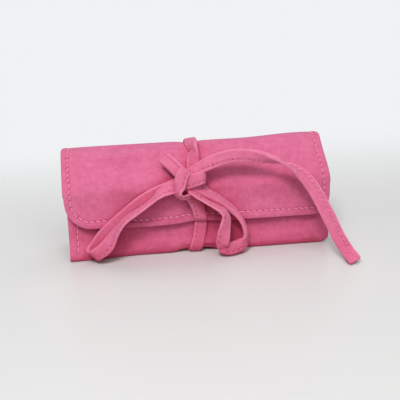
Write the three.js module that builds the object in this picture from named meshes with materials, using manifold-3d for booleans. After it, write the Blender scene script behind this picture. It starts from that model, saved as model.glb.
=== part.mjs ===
// A tie-closed suede roll: a padded suede panel folded in three, with a strap tied in a bow on its front.
// Millimetres. +X runs along the roll to the right, -Y faces the front, +Z is up, and the origin lies under
// the middle of the closed roll, on the surface it stands on.
import * as THREE from 'three';
import { mergeVertices } from 'three/addons/utils/BufferGeometryUtils.js';
import Module from 'manifold-3d';

// Overall sizes of the closed roll
const BODY_LENGTH = 198;
const FLAP_LENGTH = 200;
const ROLL_DEPTH = 40;
const ROLL_HEIGHT = 78;
const FRONT_HEIGHT = 48;
const FLAP_EDGE_HEIGHT = 24;
const FLAP_CORNER_RADIUS = 18;
const FLAP_STRAIGHT = 26;
const FLAP_TOP_FLAT = 7;
const FLAP_TOP_PULL = 10;
const FLAP_FRONT_PULL = 9;
const FLAP_EVEN_END = 3;
const BASE_CORNER_RADIUS = 8;

// Where the strap passes under the roll, the base rides over it
const BASE_LIFT_HALF = 9;
const BASE_LIFT_RUN = 24;
const BASE_LIFT_FULL_HEIGHT = 3;
const BASE_LIFT_FADE_HEIGHT = 12;

// Layers of the panel
const SUEDE = 1.4;
const LINING = 0.8;
const PADDING = 4;
const PADDING_BOTTOM = 13;
const PADDING_EDGE = 6;
const LINING_MARGIN = 4;
const LAYER_GAP = 0.3;
const FOLD_GAP = 0.9;

// Strap
const STRAP_WIDTH = 10;
const STRAP_THICKNESS = 2;
const STRAP_SOFT_EDGE = 0.6;
const STRAP_X = -3;
const STRAP_FOLD_GAP = 2.5;
const STRAND_TUCK_HEIGHT = 53;

// Knot, with distances out from the flap's front face
const KNOT = { x: -8, out: 7.4, z: 55, wide: 20, deep: 10, high: 15 };
const KNOT_WRAP = { x: -13, wide: 10, deep: 9.4, high: 19, lean: 0.2 };
const KNOT_BAND = { x: -2.5, z: 57, wide: 15, deep: 6.5, high: 11, lean: -0.22 };
const KNOT_EDGE = 1.2;

// Numbers of steps that curves are drawn with
const BACK_STEPS = 26;
const FRONT_STEPS = 16;
const FLAP_STEPS = 16;
const FLAP_EDGE_STEPS = 3;
const FLAP_CORNER_STEPS = 8;
const POCKET_STEPS = 12;
const POCKET_END_STEPS = 2;
const COIL_SIDES = 10;
const STRAND_STOPS = 12;
const STRAP_STEPS = 26;
const HEIGHT_SEARCH_STEPS = 400;
const KNOT_SIDES = 20;
const KNOT_RINGS = 12;

// Zip pocket inside the back section, and slip pocket inside the front section
const POCKET_LENGTH = 184;
const POCKET_BOTTOM = 10;
const POCKET_HEIGHT = 24;
const POCKET_CLOTH = 0.8;
const POCKET_END_SLOPE = 8;
const POCKET_BULGE = 8;
const POCKET_FULLEST = 0.7;
const SLIP_BULGE = 7.5;
const SLIP_MOUTH = 6.5;
const ZIP_TILT = THREE.MathUtils.degToRad(25);
const ZIP_LENGTH = 152;
const TAPE_WIDTH = 4.8;
const TAPE_THICKNESS = 0.6;
const TAPE_OVERHANG = 4;
const COIL_WIDTH = 1.75;
const COIL_THICKNESS = 1.6;
const COIL_SPLIT = 1.3;
const STOP_LENGTH = 2;
const STOP_THICKNESS = 1.8;
const SLIDER_LENGTH = 9;
const SLIDER_WIDTH = 7.2;
const SLIDER_PLATE = 1;
const SLIDER_WEB = 0.7;
const SLIDER_FLANGE = 0.85;
const SLIDER_END_SPACE = 2;
const BAIL_SPAN = 6.8;
const BAIL_WIDTH = 2;
const BAIL_WALL = 0.8;
const PULL_LENGTH = 14;
const PULL_WIDTH = 6;
const PULL_THICKNESS = 0.9;
const PULL_WINDOW_WIDTH = 3.2;
const PULL_CLEARANCE = 0.3;

// Faces and fold lines that the sizes above lead to
const backFace = ROLL_DEPTH / 2;
const flapFace = -ROLL_DEPTH / 2;
const frontFace = flapFace + SUEDE + LINING + 2 * LAYER_GAP;
const flapFold = new THREE.Vector2(backFace - SUEDE / 2, ROLL_HEIGHT - SUEDE / 2);
const frontFold = new THREE.Vector2(frontFace + SUEDE / 2, SUEDE / 2);
const paddingInset = SUEDE + LAYER_GAP;
const liningInset = paddingInset + PADDING + LAYER_GAP;
const backLiningFace = backFace - liningInset - LINING;
const frontLiningFace = frontFace + liningInset + LINING;
const strapOffset = LAYER_GAP + STRAP_THICKNESS / 2;

// Materials
const suede = { color: 0xd2638a, roughness: 0.95, metalness: 0 };
const strapSuede = { color: 0xd9708f, roughness: 0.93, metalness: 0 };
const liningCloth = { color: 0xe3a9ba, roughness: 0.8, metalness: 0 };
const wadding = { color: 0xf0ece6, roughness: 1, metalness: 0 };
const zipCloth = { color: 0xc97f97, roughness: 0.85, metalness: 0 };
const zipNylon = { color: 0xb86a84, roughness: 0.5, metalness: 0 };
const zipMetal = { color: 0xc9c9cc, roughness: 0.3, metalness: 1 };

const roll = new THREE.Group();

function addPiece(parent, name, geometry, finish) {
  const mesh = new THREE.Mesh(geometry, new THREE.MeshStandardMaterial(finish));
  mesh.name = name;
  parent.add(mesh);
  return mesh;
}

// Joining and cutting of closed solids
const wasm = await Module();
wasm.setup();

function toSolid(geometry) {
  const bare = geometry.clone();
  bare.deleteAttribute('normal');
  bare.deleteAttribute('uv');
  const merged = mergeVertices(bare, 1e-4);
  const mesh = new wasm.Mesh({
    numProp: 3,
    vertProperties: new Float32Array(merged.attributes.position.array),
    triVerts: new Uint32Array(merged.index.array),
  });
  return new wasm.Manifold(mesh);
}

function toGeometry(solid) {
  const mesh = solid.getMesh();
  const geometry = new THREE.BufferGeometry();
  geometry.setAttribute('position', new THREE.Float32BufferAttribute(mesh.vertProperties, 3));
  geometry.setIndex(new THREE.Uint32BufferAttribute(mesh.triVerts, 1));
  return geometry;
}

// A closed skin over rings of points. Each ring runs counter-clockwise seen from the end it travels to.
function skin(rings, capTriangles) {
  const count = rings[0].length;
  const lastRing = (rings.length - 1) * count;
  const indices = [];
  for (let ring = 0; ring + 1 < rings.length; ring += 1) {
    for (let corner = 0; corner < count; corner += 1) {
      const here = ring * count + corner;
      const next = ring * count + ((corner + 1) % count);
      indices.push(here, next, next + count);
      indices.push(here, next + count, here + count);
    }
  }
  for (const [a, b, c] of capTriangles) {
    indices.push(c, b, a);
    indices.push(lastRing + a, lastRing + b, lastRing + c);
  }
  const geometry = new THREE.BufferGeometry();
  geometry.setFromPoints(rings.flat());
  geometry.setIndex(indices);
  return geometry;
}

// A solid lofted along X through outlines in the YZ plane
function loftAlongX(stations, outlineAt) {
  const outlines = stations.map((x) => {
    const outline = outlineAt(x);
    return THREE.ShapeUtils.isClockWise(outline) ? outline.reverse() : outline;
  });
  const rings = outlines.map((outline, i) => outline.map((p) => new THREE.Vector3(stations[i], p.x, p.y)));
  return skin(rings, THREE.ShapeUtils.triangulateShape(outlines[0], []));
}

// The points of a curve in the YZ plane, moved to its left by an offset
function offsetPoint(curve, at, offset) {
  const point = curve.getPointAt(at);
  const tangent = curve.getTangentAt(at);
  return new THREE.Vector2(point.x - tangent.y * offset, point.y + tangent.x * offset);
}

// A strip of even thickness along a curve, between two offsets to its left
function stripOutline(curve, fractions, nearOffset, farOffset) {
  const near = fractions.map((at) => offsetPoint(curve, at, nearOffset));
  const far = fractions.map((at) => offsetPoint(curve, at, farOffset));
  return [...near, ...far.reverse()];
}

function evenSteps(count, end = 1) {
  return Array.from({ length: count + 1 }, (_, i) => (i / count) * end);
}

// The base's ride over the strap, which fades out to each side and upwards
const baseLift = STRAP_THICKNESS + LAYER_GAP;

function lifted(point, x) {
  const across = Math.abs(x - STRAP_X) - BASE_LIFT_HALF;
  const along = 1 - THREE.MathUtils.clamp(across / BASE_LIFT_RUN, 0, 1);
  const fade = (BASE_LIFT_FADE_HEIGHT - point.y) / (BASE_LIFT_FADE_HEIGHT - BASE_LIFT_FULL_HEIGHT);
  return new THREE.Vector2(point.x, point.y + baseLift * along * THREE.MathUtils.clamp(fade, 0, 1));
}

function liftStations(length) {
  const inner = BASE_LIFT_HALF + BASE_LIFT_RUN;
  const lifts = [-inner, -BASE_LIFT_HALF, BASE_LIFT_HALF, inner].map((x) => STRAP_X + x);
  return [-length / 2, ...lifts, length / 2];
}

function liftedSheet(length, outline) {
  return loftAlongX(liftStations(length), (x) => outline.map((point) => lifted(point, x)));
}

// Back section: one sheet goes down the back, round the base corner and forward under the roll
function backPath(inset, floor, radius) {
  const y = backFace - inset;
  const path = new THREE.CurvePath();
  const top = new THREE.Vector2(y, flapFold.y - FOLD_GAP - inset);
  const cornerTop = new THREE.Vector2(y, floor + radius);
  const cornerEnd = new THREE.Vector2(y - radius, floor);
  const front = new THREE.Vector2(frontFold.x + FOLD_GAP + floor, floor);
  path.add(new THREE.LineCurve(top, cornerTop));
  path.add(new THREE.QuadraticBezierCurve(cornerTop, new THREE.Vector2(y, floor), cornerEnd));
  path.add(new THREE.LineCurve(cornerEnd, front));
  return path;
}

const backOuter = backPath(0, 0, BASE_CORNER_RADIUS);
const backInner = backPath(liningInset, SUEDE + LAYER_GAP, BASE_CORNER_RADIUS - LAYER_GAP);
const backOutline = stripOutline(backOuter, evenSteps(BACK_STEPS), 0, -SUEDE);
const backLiningOutline = stripOutline(backInner, evenSteps(BACK_STEPS), 0, -LINING);
addPiece(roll, 'back_panel', liftedSheet(BODY_LENGTH, backOutline), suede);
addPiece(roll, 'back_lining', liftedSheet(BODY_LENGTH - 2 * LINING_MARGIN, backLiningOutline), liningCloth);

// Wadding with round edges, standing between a suede section and its lining
function waddingBoard(height) {
  const length = BODY_LENGTH - 2 * PADDING_EDGE;
  const radius = PADDING / 2 - LAYER_GAP;
  const shape = new THREE.Shape();
  shape.moveTo(-PADDING / 2, radius);
  shape.absarc(-PADDING / 2 + radius, radius, radius, Math.PI, 1.5 * Math.PI);
  shape.absarc(PADDING / 2 - radius, radius, radius, 1.5 * Math.PI, 2 * Math.PI);
  shape.absarc(PADDING / 2 - radius, height - radius, radius, 0, 0.5 * Math.PI);
  shape.absarc(-PADDING / 2 + radius, height - radius, radius, 0.5 * Math.PI, Math.PI);
  const geometry = new THREE.ExtrudeGeometry(shape, { depth: length, bevelEnabled: false, curveSegments: 4 });
  geometry.translate(0, 0, -length / 2);
  const toX = new THREE.Matrix4().makeBasis(
    new THREE.Vector3(0, 1, 0),
    new THREE.Vector3(0, 0, 1),
    new THREE.Vector3(1, 0, 0),
  );
  return geometry.applyMatrix4(toX);
}

const backWaddingHeight = ROLL_HEIGHT - PADDING_BOTTOM - PADDING_EDGE;
const backWadding = addPiece(roll, 'back_padding', waddingBoard(backWaddingHeight), wadding);
backWadding.position.set(0, backFace - paddingInset - PADDING / 2, PADDING_BOTTOM);

// Front section: stands on its own fold at the front of the base, below and behind the flap
const frontBottom = frontFold.y + FOLD_GAP;
const frontLiningBottom = SUEDE + LINING + 2 * LAYER_GAP;
const frontOuter = new THREE.LineCurve(
  new THREE.Vector2(frontFace, frontBottom),
  new THREE.Vector2(frontFace, FRONT_HEIGHT),
);
const frontInner = new THREE.LineCurve(
  new THREE.Vector2(frontFace + liningInset, frontLiningBottom),
  new THREE.Vector2(frontFace + liningInset, FRONT_HEIGHT - LINING_MARGIN / 2),
);
const frontOutline = stripOutline(frontOuter, evenSteps(FRONT_STEPS), 0, -SUEDE);
const frontLiningOutline = stripOutline(frontInner, evenSteps(FRONT_STEPS), 0, -LINING);
addPiece(roll, 'front_panel', liftedSheet(BODY_LENGTH, frontOutline), suede);
addPiece(roll, 'front_lining', liftedSheet(BODY_LENGTH - 2 * LINING_MARGIN, frontLiningOutline), liningCloth);
const frontWaddingHeight = FRONT_HEIGHT - PADDING_BOTTOM - PADDING_EDGE / 2;
const frontWadding = addPiece(roll, 'front_padding', waddingBoard(frontWaddingHeight), wadding);
frontWadding.position.set(0, frontFace + paddingInset + PADDING / 2, PADDING_BOTTOM);

// Flap: over the top, down a soft shoulder and straight down the front to its rounded corners
const flapPath = new THREE.CurvePath();
const flapStart = new THREE.Vector2(flapFold.x - FOLD_GAP, ROLL_HEIGHT);
const flapShoulder = new THREE.Vector2(flapStart.x - FLAP_TOP_FLAT, ROLL_HEIGHT);
const flapFront = new THREE.Vector2(flapFace, FLAP_EDGE_HEIGHT + FLAP_STRAIGHT);
const flapEdge = new THREE.Vector2(flapFace, FLAP_EDGE_HEIGHT);
flapPath.add(new THREE.LineCurve(flapStart, flapShoulder));
flapPath.add(new THREE.CubicBezierCurve(
  flapShoulder,
  new THREE.Vector2(flapShoulder.x - FLAP_TOP_PULL, flapShoulder.y),
  new THREE.Vector2(flapFront.x, flapFront.y + FLAP_FRONT_PULL),
  flapFront,
));
flapPath.add(new THREE.LineCurve(flapFront, flapEdge));
const flapRun = flapPath.getLength();

// One layer of the flap, its side and lower edges drawn in by a margin
function flapLayer(nearOffset, farOffset, margin) {
  const half = FLAP_LENGTH / 2 - margin;
  const radius = FLAP_CORNER_RADIUS - margin;
  const evenRun = flapRun - FLAP_CORNER_RADIUS - FLAP_EVEN_END;
  const turns = evenSteps(FLAP_CORNER_STEPS, Math.PI / 2);
  const corner = turns.map((turn) => half - radius + radius * Math.sin(turn));
  const stations = [...corner.map((x) => -x).reverse(), ...corner];
  const outlineAt = (x) => {
    const intoCorner = Math.min(radius, Math.max(0, Math.abs(x) - (half - radius)));
    const run = flapRun - margin - (radius - Math.sqrt(radius * radius - intoCorner * intoCorner));
    const upper = evenSteps(FLAP_STEPS, evenRun);
    const lower = evenSteps(FLAP_EDGE_STEPS).slice(1).map((t) => evenRun + t * (run - evenRun));
    const fractions = [...upper, ...lower].map((along) => along / flapRun);
    return stripOutline(flapPath, fractions, nearOffset, farOffset);
  };
  return loftAlongX(stations, outlineAt);
}

const flapLiningOffset = SUEDE + LAYER_GAP;
addPiece(roll, 'flap_panel', flapLayer(0, SUEDE, 0), suede);
const flapLining = flapLayer(flapLiningOffset, flapLiningOffset + LINING, LINING_MARGIN);
addPiece(roll, 'flap_lining', flapLining, liningCloth);

// Pocket panels: cloth that bulges from the lining, sewn down along its bottom and its two ends
function pocketPanel(bulge, topDepth) {
  const sewn = LAYER_GAP + POCKET_CLOTH;
  const half = POCKET_LENGTH / 2;
  const slope = evenSteps(POCKET_END_STEPS).map((t) => half - POCKET_END_SLOPE * t);
  const stations = [...slope.map((x) => -x), ...slope.reverse()];
  const outlineAt = (x) => {
    const inset = THREE.MathUtils.clamp((half - Math.abs(x)) / POCKET_END_SLOPE, 0, 1);
    const fullness = Math.sin((inset * Math.PI) / 2);
    const depth = (y) => sewn + (y - sewn) * fullness;
    const path = new THREE.CubicBezierCurve(
      new THREE.Vector2(depth(LAYER_GAP), 0),
      new THREE.Vector2(depth(bulge), 0),
      new THREE.Vector2(depth(bulge), POCKET_HEIGHT * POCKET_FULLEST),
      new THREE.Vector2(depth(topDepth), POCKET_HEIGHT),
    );
    return stripOutline(path, evenSteps(POCKET_STEPS), 0, POCKET_CLOTH);
  };
  return loftAlongX(stations, outlineAt);
}

const slipPocket = new THREE.Group();
slipPocket.position.set(0, frontLiningFace, POCKET_BOTTOM);
roll.add(slipPocket);
addPiece(slipPocket, 'slip_pocket', pocketPanel(SLIP_BULGE, SLIP_MOUTH), liningCloth);

// The zip pocket faces the front, so its group is turned about Z, and its zip leans back to the lining
const zipPocket = new THREE.Group();
zipPocket.position.set(0, backLiningFace, POCKET_BOTTOM);
zipPocket.rotation.z = Math.PI;
roll.add(zipPocket);
const coilEdge = COIL_SPLIT / 2 + COIL_WIDTH;
const zipHalf = coilEdge + LAYER_GAP + TAPE_WIDTH;
const plateInner = COIL_THICKNESS / 2 + LAYER_GAP;
const plateOuter = plateInner + SLIDER_PLATE;
const tapeReach = zipHalf * Math.sin(ZIP_TILT) + (TAPE_THICKNESS / 2) * Math.cos(ZIP_TILT);
const sliderReach = (SLIDER_WIDTH / 2) * Math.sin(ZIP_TILT) + plateOuter * Math.cos(ZIP_TILT);
const zip = new THREE.Group();
zip.position.y = LAYER_GAP + Math.max(tapeReach, sliderReach);
const tapeDrop = zipHalf * Math.cos(ZIP_TILT) + (TAPE_THICKNESS / 2) * Math.sin(ZIP_TILT);
zip.position.z = POCKET_HEIGHT + LAYER_GAP + tapeDrop;
zip.rotation.x = ZIP_TILT;
zipPocket.add(zip);
const zipPocketTop = zip.position.y + zipHalf * Math.sin(ZIP_TILT) + POCKET_CLOTH / 2;
addPiece(zipPocket, 'zip_pocket', pocketPanel(POCKET_BULGE, zipPocketTop), liningCloth);

for (const [side, sign] of [['upper', 1], ['lower', -1]]) {
  const tape = new THREE.BoxGeometry(ZIP_LENGTH + 2 * TAPE_OVERHANG, TAPE_THICKNESS, TAPE_WIDTH);
  const tapeMiddle = coilEdge + LAYER_GAP + TAPE_WIDTH / 2;
  addPiece(zip, `zip_tape_${side}`, tape, zipCloth).position.z = sign * tapeMiddle;
  const coil = new THREE.CylinderGeometry(0.5, 0.5, ZIP_LENGTH, COIL_SIDES);
  coil.rotateZ(Math.PI / 2);
  coil.scale(1, COIL_THICKNESS, COIL_WIDTH);
  addPiece(zip, `zip_coil_${side}`, coil, zipNylon).position.z = sign * (COIL_SPLIT / 2 + COIL_WIDTH / 2);
}
for (const [side, sign] of [['left', 1], ['right', -1]]) {
  const stop = new THREE.BoxGeometry(STOP_LENGTH, STOP_THICKNESS, 2 * coilEdge);
  const x = sign * (ZIP_LENGTH / 2 + LAYER_GAP + STOP_LENGTH / 2);
  addPiece(zip, `zip_stop_${side}`, stop, zipMetal).position.x = x;
}

// Zip slider: two shield plates joined by a web that runs between the coils, with a bail for the pull
function shieldPlate(yLow, yHigh) {
  const nose = SLIDER_LENGTH / 2;
  const wide = SLIDER_WIDTH / 2;
  const narrow = wide - SLIDER_FLANGE;
  const shape = new THREE.Shape();
  shape.moveTo(-nose, -narrow);
  shape.lineTo(0, -wide);
  shape.quadraticCurveTo(nose, -wide, nose, 0);
  shape.quadraticCurveTo(nose, wide, 0, wide);
  shape.lineTo(-nose, narrow);
  const depth = yHigh - yLow;
  const plate = new THREE.ExtrudeGeometry(shape, { depth, bevelEnabled: false, curveSegments: 6 });
  plate.rotateX(Math.PI / 2);
  plate.translate(0, yHigh, 0);
  return toSolid(plate);
}

function block(xSize, ySize, zSize, y, z) {
  const box = new THREE.BoxGeometry(xSize, ySize, zSize);
  box.translate(0, y, z);
  return toSolid(box);
}

function bailArch() {
  const outer = BAIL_SPAN / 2;
  const inner = outer - BAIL_WALL;
  const foot = plateOuter - SLIDER_PLATE / 2;
  const crown = plateOuter + PULL_THICKNESS + 2 * PULL_CLEARANCE;
  const shape = new THREE.Shape();
  shape.moveTo(-outer, foot);
  shape.lineTo(-outer, crown);
  shape.quadraticCurveTo(-outer, crown + BAIL_WALL, -inner, crown + BAIL_WALL);
  shape.lineTo(inner, crown + BAIL_WALL);
  shape.quadraticCurveTo(outer, crown + BAIL_WALL, outer, crown);
  shape.lineTo(outer, foot);
  shape.lineTo(inner, foot);
  shape.lineTo(inner, crown);
  shape.lineTo(-inner, crown);
  shape.lineTo(-inner, foot);
  const arch = new THREE.ExtrudeGeometry(shape, { depth: BAIL_WIDTH, bevelEnabled: false, curveSegments: 3 });
  arch.translate(0, 0, -BAIL_WIDTH / 2);
  return toSolid(arch);
}

function sliderSolid() {
  const webHeight = 2 * plateInner + SLIDER_PLATE;
  const flangeHeight = plateInner - TAPE_THICKNESS / 2 - LAYER_GAP + SLIDER_PLATE / 2;
  const flangeY = plateInner + SLIDER_PLATE / 2 - flangeHeight / 2;
  const flangeZ = coilEdge + LAYER_GAP + SLIDER_FLANGE / 2;
  let slider = shieldPlate(plateInner, plateOuter).add(shieldPlate(-plateOuter, -plateInner));
  slider = slider.add(block(SLIDER_LENGTH / 2, webHeight, SLIDER_WEB, 0, 0)).add(bailArch());
  for (const [ySign, zSign] of [[1, 1], [1, -1], [-1, 1], [-1, -1]]) {
    const flange = block(SLIDER_LENGTH / 3, flangeHeight, SLIDER_FLANGE, ySign * flangeY, zSign * flangeZ);
    slider = slider.add(flange);
  }
  return toGeometry(slider);
}

const sliderX = ZIP_LENGTH / 2 - SLIDER_LENGTH / 2 - SLIDER_END_SPACE;
addPiece(zip, 'zip_slider', sliderSolid(), zipMetal).position.x = sliderX;

// Zip pull: a rounded tab whose cross bar turns under the bail
function pullTab() {
  const half = PULL_WIDTH / 2;
  const bar = PULL_THICKNESS / 2;
  const windowEnd = BAIL_SPAN / 2 + 2 * PULL_CLEARANCE;
  const shape = new THREE.Shape();
  shape.moveTo(-bar, -half);
  shape.lineTo(PULL_LENGTH - half, -half);
  shape.absarc(PULL_LENGTH - half, 0, half, -Math.PI / 2, Math.PI / 2);
  shape.lineTo(-bar, half);
  const slot = new THREE.Path();
  slot.moveTo(bar, -PULL_WINDOW_WIDTH / 2);
  slot.lineTo(windowEnd, -PULL_WINDOW_WIDTH / 2);
  slot.lineTo(windowEnd, PULL_WINDOW_WIDTH / 2);
  slot.lineTo(bar, PULL_WINDOW_WIDTH / 2);
  shape.holes.push(slot);
  const depth = PULL_THICKNESS;
  const tab = new THREE.ExtrudeGeometry(shape, { depth, bevelEnabled: false, curveSegments: 8 });
  tab.rotateX(Math.PI / 2);
  tab.translate(0, PULL_THICKNESS / 2, 0);
  return tab;
}

const pull = addPiece(zip, 'zip_pull', pullTab(), zipMetal);
pull.position.set(sliderX, plateOuter + PULL_CLEARANCE + PULL_THICKNESS / 2, 0);
pull.rotation.y = Math.PI;

// Strap: folded suede with soft edges, along stops that each say where it is and which way its face looks
function strap(stops) {
  const half = STRAP_THICKNESS / 2;
  const side = STRAP_WIDTH / 2;
  const soft = half * STRAP_SOFT_EDGE;
  const quarter = [[half, side - soft], [half - soft, side]];
  const section = [
    ...quarter,
    ...quarter.map(([n, w]) => [-n, w]).reverse(),
    ...quarter.map(([n, w]) => [-n, -w]),
    ...quarter.map(([n, w]) => [n, -w]).reverse(),
  ];
  const toCurve = (points) => new THREE.CatmullRomCurve3(points.map((p) => new THREE.Vector3(...p)));
  const centre = toCurve(stops.map((stop) => stop.at));
  const looks = toCurve(stops.map((stop) => stop.faces));
  const rings = evenSteps(STRAP_STEPS).map((t) => {
    const tangent = centre.getTangent(t);
    const face = looks.getPoint(t).projectOnPlane(tangent).normalize();
    const across = tangent.clone().cross(face);
    const middle = centre.getPoint(t);
    return section.map(([n, w]) => middle.clone().addScaledVector(face, n).addScaledVector(across, w));
  });
  const caps = section.slice(2).map((_, i) => [0, i + 1, i + 2]);
  return skin(rings, caps);
}

// Stops for a strand that lies on a curve in the YZ plane
function strandStops(curve, fractions, offset, place = (point) => point) {
  return fractions.map((at) => {
    const point = place(offsetPoint(curve, at, offset), STRAP_X);
    const tangent = curve.getTangentAt(at);
    const sign = Math.sign(offset);
    return { at: [STRAP_X, point.x, point.y], faces: [0, -tangent.y * sign, tangent.x * sign] };
  });
}

function flapFractionAtHeight(height) {
  return evenSteps(HEIGHT_SEARCH_STEPS).find((at) => flapPath.getPointAt(at).y <= height);
}

const tuck = flapFractionAtHeight(STRAND_TUCK_HEIGHT);
const tuckGap = (STRAP_THICKNESS + LAYER_GAP) / flapRun;
const topStart = STRAP_FOLD_GAP / flapRun;
const topFractions = evenSteps(STRAND_STOPS, tuck - tuckGap - topStart).map((t) => topStart + t);
const upperFractions = evenSteps(STRAND_STOPS, 1 - tuck).map((t) => tuck + t);
const lowerEnd = (FLAP_EDGE_HEIGHT - LAYER_GAP - frontBottom) / (FRONT_HEIGHT - frontBottom);
const lowerFractions = evenSteps(STRAND_STOPS, lowerEnd);
const backStart = STRAP_FOLD_GAP / backOuter.getLength();
const backFractions = evenSteps(BACK_STEPS, 1 - backStart).map((t) => backStart + t);
const topStops = strandStops(flapPath, topFractions, -strapOffset);
const upperStops = strandStops(flapPath, upperFractions, -strapOffset);
const lowerStops = strandStops(frontOuter, lowerFractions, strapOffset, lifted);
const backStops = strandStops(backOuter, backFractions, strapOffset, lifted);
addPiece(roll, 'tie_top_strand', strap(topStops), strapSuede);
addPiece(roll, 'tie_upper_strand', strap(upperStops), strapSuede);
addPiece(roll, 'tie_lower_strand', strap(lowerStops), strapSuede);
addPiece(roll, 'tie_back_strand', strap(backStops), strapSuede);

// Knot: one turn of strap wrapped over the crossing, and the flat band beside it
const knotFace = flapFace - KNOT.out;

function pillow({ wide, deep, high }) {
  const radius = deep / 2;
  const shape = new THREE.Shape();
  const flat = high / 2 - radius;
  shape.absarc(0, flat, radius - KNOT_EDGE, 0, Math.PI);
  shape.absarc(0, -flat, radius - KNOT_EDGE, Math.PI, 2 * Math.PI);
  const geometry = new THREE.ExtrudeGeometry(shape, {
    depth: wide - 2 * KNOT_EDGE,
    bevelSize: KNOT_EDGE,
    bevelThickness: KNOT_EDGE,
    bevelSegments: 2,
    curveSegments: 8,
  });
  geometry.translate(0, 0, KNOT_EDGE - wide / 2);
  geometry.rotateY(Math.PI / 2);
  return geometry;
}

function knotSolid() {
  const core = new THREE.SphereGeometry(0.5, KNOT_SIDES, KNOT_RINGS);
  core.scale(KNOT.wide, KNOT.deep, KNOT.high);
  core.translate(KNOT.x, knotFace, KNOT.z);
  const wrap = pillow(KNOT_WRAP);
  wrap.rotateX(Math.PI / 2);
  wrap.rotateY(KNOT_WRAP.lean);
  wrap.translate(KNOT_WRAP.x, knotFace, KNOT.z);
  const band = pillow(KNOT_BAND);
  band.rotateX(Math.PI / 2);
  band.rotateY(KNOT_BAND.lean);
  band.translate(KNOT_BAND.x, knotFace, KNOT_BAND.z);
  return toGeometry(toSolid(core).add(toSolid(wrap)).add(toSolid(band)));
}

addPiece(roll, 'tie_knot', knotSolid(), strapSuede);

// Bow and free ends: stops chosen by hand along the strap's lie, each with X, distance out from the flap's
// front face and Z, and the way the strap's face looks there
const loopLeft = [
  { at: [-21.5, 5.4, 59.2], faces: [0.3, -0.75, -0.55] },
  { at: [-31, 4.8, 53.7], faces: [0.3, -0.75, -0.55] },
  { at: [-45, 4.8, 45], faces: [0.3, -0.75, -0.55] },
  { at: [-60, 4.6, 34], faces: [0.3, -0.75, -0.55] },
  { at: [-72.5, 4.2, 23], faces: [0.3, -0.75, -0.55] },
  { at: [-80, 4, 14], faces: [0.5, -0.7, -0.2] },
  { at: [-82.5, 6, 8.5], faces: [0.8, -0.2, 0.5] },
  { at: [-78.5, 9.5, 6.4], faces: [0.6, 0.4, 0.6] },
  { at: [-69, 11.5, 11.5], faces: [-0.1, 0.8, 0.6] },
  { at: [-56, 12, 24.5], faces: [-0.3, 0.75, 0.55] },
  { at: [-44.5, 11.5, 35], faces: [-0.3, 0.75, 0.55] },
  { at: [-34.5, 10.5, 43.8], faces: [-0.3, 0.75, 0.55] },
  { at: [-26, 9.5, 48.6], faces: [-0.3, 0.75, 0.55] },
  { at: [-21.5, 9.2, 50.8], faces: [-0.3, 0.75, 0.55] },
];
const loopRight = [
  { at: [3.6, 6.4, 51.2], faces: [-0.45, -0.75, -0.45] },
  { at: [14, 5.6, 41], faces: [-0.45, -0.75, -0.45] },
  { at: [24, 6, 30.5], faces: [-0.6, -0.7, -0.35] },
  { at: [31, 6.2, 19], faces: [-0.8, -0.55, -0.2] },
  { at: [33, 7.5, 10.5], faces: [-0.85, -0.35, 0.3] },
  { at: [28.5, 11, 6.5], faces: [-0.4, 0.65, 0.6] },
  { at: [20.5, 14.5, 6.4], faces: [0.1, 0.85, 0.5] },
  { at: [14, 15.4, 11], faces: [0.7, 0.6, 0.35] },
  { at: [13.5, 14.5, 19], faces: [0.75, 0.6, -0.2] },
  { at: [16, 13.5, 27], faces: [0.6, 0.75, 0.1] },
  { at: [12.5, 11.6, 35], faces: [0.45, 0.75, 0.45] },
  { at: [4, 10, 42.4], faces: [0.45, 0.75, 0.45] },
  { at: [-2.4, 9.2, 48], faces: [0.45, 0.75, 0.45] },
];
const tailLong = [
  { at: [1.5, 7, 66.8], faces: [-0.4, -0.8, 0.45] },
  { at: [6.5, 8.2, 70.8], faces: [-0.35, -0.75, 0.5] },
  { at: [14, 10, 75], faces: [-0.2, -0.65, 0.7] },
  { at: [28.5, 12, 77.4], faces: [0, -0.55, 0.83] },
  { at: [44, 14, 76.2], faces: [0.15, -0.6, 0.78] },
  { at: [60.5, 16, 70.4], faces: [0.35, -0.65, 0.65] },
  { at: [73.5, 18, 59.7], faces: [0.5, -0.75, 0.45] },
  { at: [82, 21, 47], faces: [0.55, -0.75, 0.35] },
  { at: [89, 25, 32.5], faces: [0.5, -0.75, 0.35] },
  { at: [96, 30, 17], faces: [0.45, -0.65, 0.45] },
  { at: [102, 35.5, 6.5], faces: [0.38, -0.45, 0.75] },
  { at: [105.5, 41, 3], faces: [0.35, -0.35, 0.87] },
];
const tailShort = [
  { at: [-15.4, 5.5, 66.3], faces: [-0.2, -0.75, 0.6] },
  { at: [-20.5, -2, 69.2], faces: [-0.2, -0.7, 0.65] },
  { at: [-26.5, -10.4, 72.2], faces: [-0.2, -0.65, 0.7] },
];

function inFrontOfFlap(stops) {
  return stops.map(({ at: [x, out, z], faces }) => ({ at: [x, flapFace - out, z], faces }));
}

addPiece(roll, 'tie_loop_left', strap(inFrontOfFlap(loopLeft)), strapSuede);
addPiece(roll, 'tie_loop_right', strap(inFrontOfFlap(loopRight)), strapSuede);
addPiece(roll, 'tie_tail_long', strap(inFrontOfFlap(tailLong)), strapSuede);
addPiece(roll, 'tie_tail_short', strap(inFrontOfFlap(tailShort)), strapSuede);

export default roll;
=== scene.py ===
"""A tie-closed suede roll: its soft pieces, threads and finishes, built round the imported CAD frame.

Lengths are written in millimetres and become metres when a mesh is made.
"""
import math

import bmesh
import bpy
import numpy as np
from mathutils import Matrix, Vector


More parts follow.
